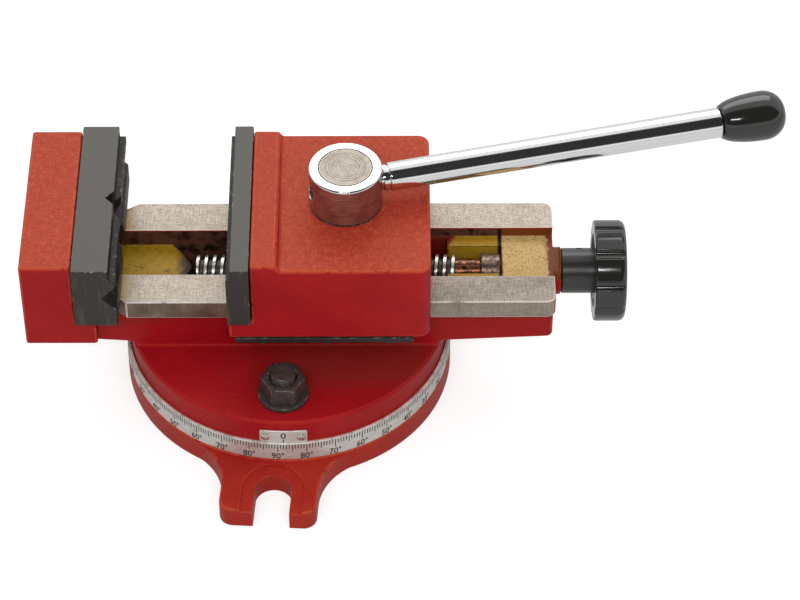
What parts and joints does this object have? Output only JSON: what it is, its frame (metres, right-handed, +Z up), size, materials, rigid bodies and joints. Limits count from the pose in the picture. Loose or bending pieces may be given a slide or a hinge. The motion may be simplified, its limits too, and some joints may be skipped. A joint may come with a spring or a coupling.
{
  "type": "drill press vise",
  "caption": "Swivel-base drill press vise with vee-grooved fixed jaw, sliding saddle jaw, handwheel screw and quick clamping lever on an eccentric shaft.",
  "frame": {"origin": "centre of the base's underside, on the swivel axis, where it stands on the drill table", "axes": "+X along the jaw travel from the fixed jaw to the handwheel, +Y towards the rear lug, +Z up along the swivel axis"},
  "size_m": [0.3659, 0.2258, 0.1323],
  "materials": {
    "red_casting": "textured red machine enamel on cast iron, with ground guide faces",
    "jaw_plate_steel": "ground and darkened tool steel",
    "bare_steel": "turned steel with a film of oil",
    "chrome": "bright chrome plate",
    "scale_aluminium": "satin aluminium with black engraved marks",
    "black_oxide": "black oxide on steel, oiled",
    "black_plastic": "glossy black moulded phenolic",
    "bronze": "machined bronze"
  },
  "bodies": {
    "base": {"swivel_base": "red_casting", "scale_ring": "scale_aluminium"},
    "vise": {"vise_body": "red_casting", "index_plate": "scale_aluminium", "index_rivet_left": "scale_aluminium", "index_rivet_right": "scale_aluminium", "pivot_pin": "bare_steel", "t_bolt_front": "black_oxide", "t_bolt_rear": "black_oxide", "clamp_washer_front": "black_oxide", "clamp_washer_rear": "black_oxide", "fixed_jaw_plate": "jaw_plate_steel", "fixed_jaw_screw_front": "black_oxide", "fixed_jaw_screw_rear": "black_oxide"},
    "nut_front": {"clamp_nut_front": "black_oxide"},
    "nut_rear": {"clamp_nut_rear": "black_oxide"},
    "screw": {"lead_screw": "bare_steel", "thrust_collar": "bare_steel", "collar_pin": "bare_steel", "handwheel": "black_plastic", "handwheel_pin": "bare_steel"},
    "nut": {"spindle_nut": "bronze"},
    "jaw": {"moving_jaw": "red_casting", "moving_jaw_plate": "jaw_plate_steel", "moving_jaw_screw_front": "black_oxide", "moving_jaw_screw_rear": "black_oxide", "keeper_plate_front": "black_oxide", "keeper_plate_rear": "black_oxide", "keeper_screw_front_1": "black_oxide", "keeper_screw_front_2": "black_oxide", "keeper_screw_front_3": "black_oxide", "keeper_screw_rear_1": "black_oxide", "keeper_screw_rear_2": "black_oxide", "keeper_screw_rear_3": "black_oxide", "hub_washer": "black_oxide"},
    "lever": {"eccentric_shaft": "bare_steel", "lever_hub": "chrome", "shaft_clip": "bare_steel", "lever_arm": "chrome", "lever_knob": "black_plastic"}
  },
  "joints": [
    {"name": "swivel", "type": "hinge", "parent": "base", "child": "vise", "pos_m": [0, 0, 0.0248], "axis": [0, 0, 1], "continuous": true},
    {"name": "front_nut_turn", "type": "hinge", "parent": "vise", "child": "nut_front", "pos_m": [-0.001, -0.05999, 0.0456], "axis": [0, 0, 1], "range_deg": [0, 90]},
    {"name": "rear_nut_turn", "type": "hinge", "parent": "vise", "child": "nut_rear", "pos_m": [0.001, 0.05999, 0.0456], "axis": [0, 0, 1], "range_deg": [0, 90]},
    {"name": "handwheel_turn", "type": "hinge", "parent": "vise", "child": "screw", "pos_m": [0.1042, 0, 0.06135], "axis": [1, 0, 0], "range_deg": [-4388, 2772.5]},
    {"name": "jaw_travel", "type": "slide", "parent": "vise", "child": "nut", "axis": [1, 0, 0], "range_m": [-0.04875, 0.0308]},
    {"name": "jaw_clamp", "type": "slide", "parent": "nut", "child": "jaw", "axis": [1, 0, 0], "range_m": [-0.0026, 0.0026]},
    {"name": "lever_turn", "type": "hinge", "parent": "jaw", "child": "lever", "pos_m": [0.02917, 0, 0.1083], "axis": [0, 0, 1], "range_deg": [-60, 60]}
  ],
  "couplings": [
    {"joint": "handwheel_turn", "follows": "jaw_travel", "rad_per_m": 1570.8},
    {"joint": "jaw_clamp", "follows": "lever_turn", "m_per_rad": 0.002481}
  ]
}
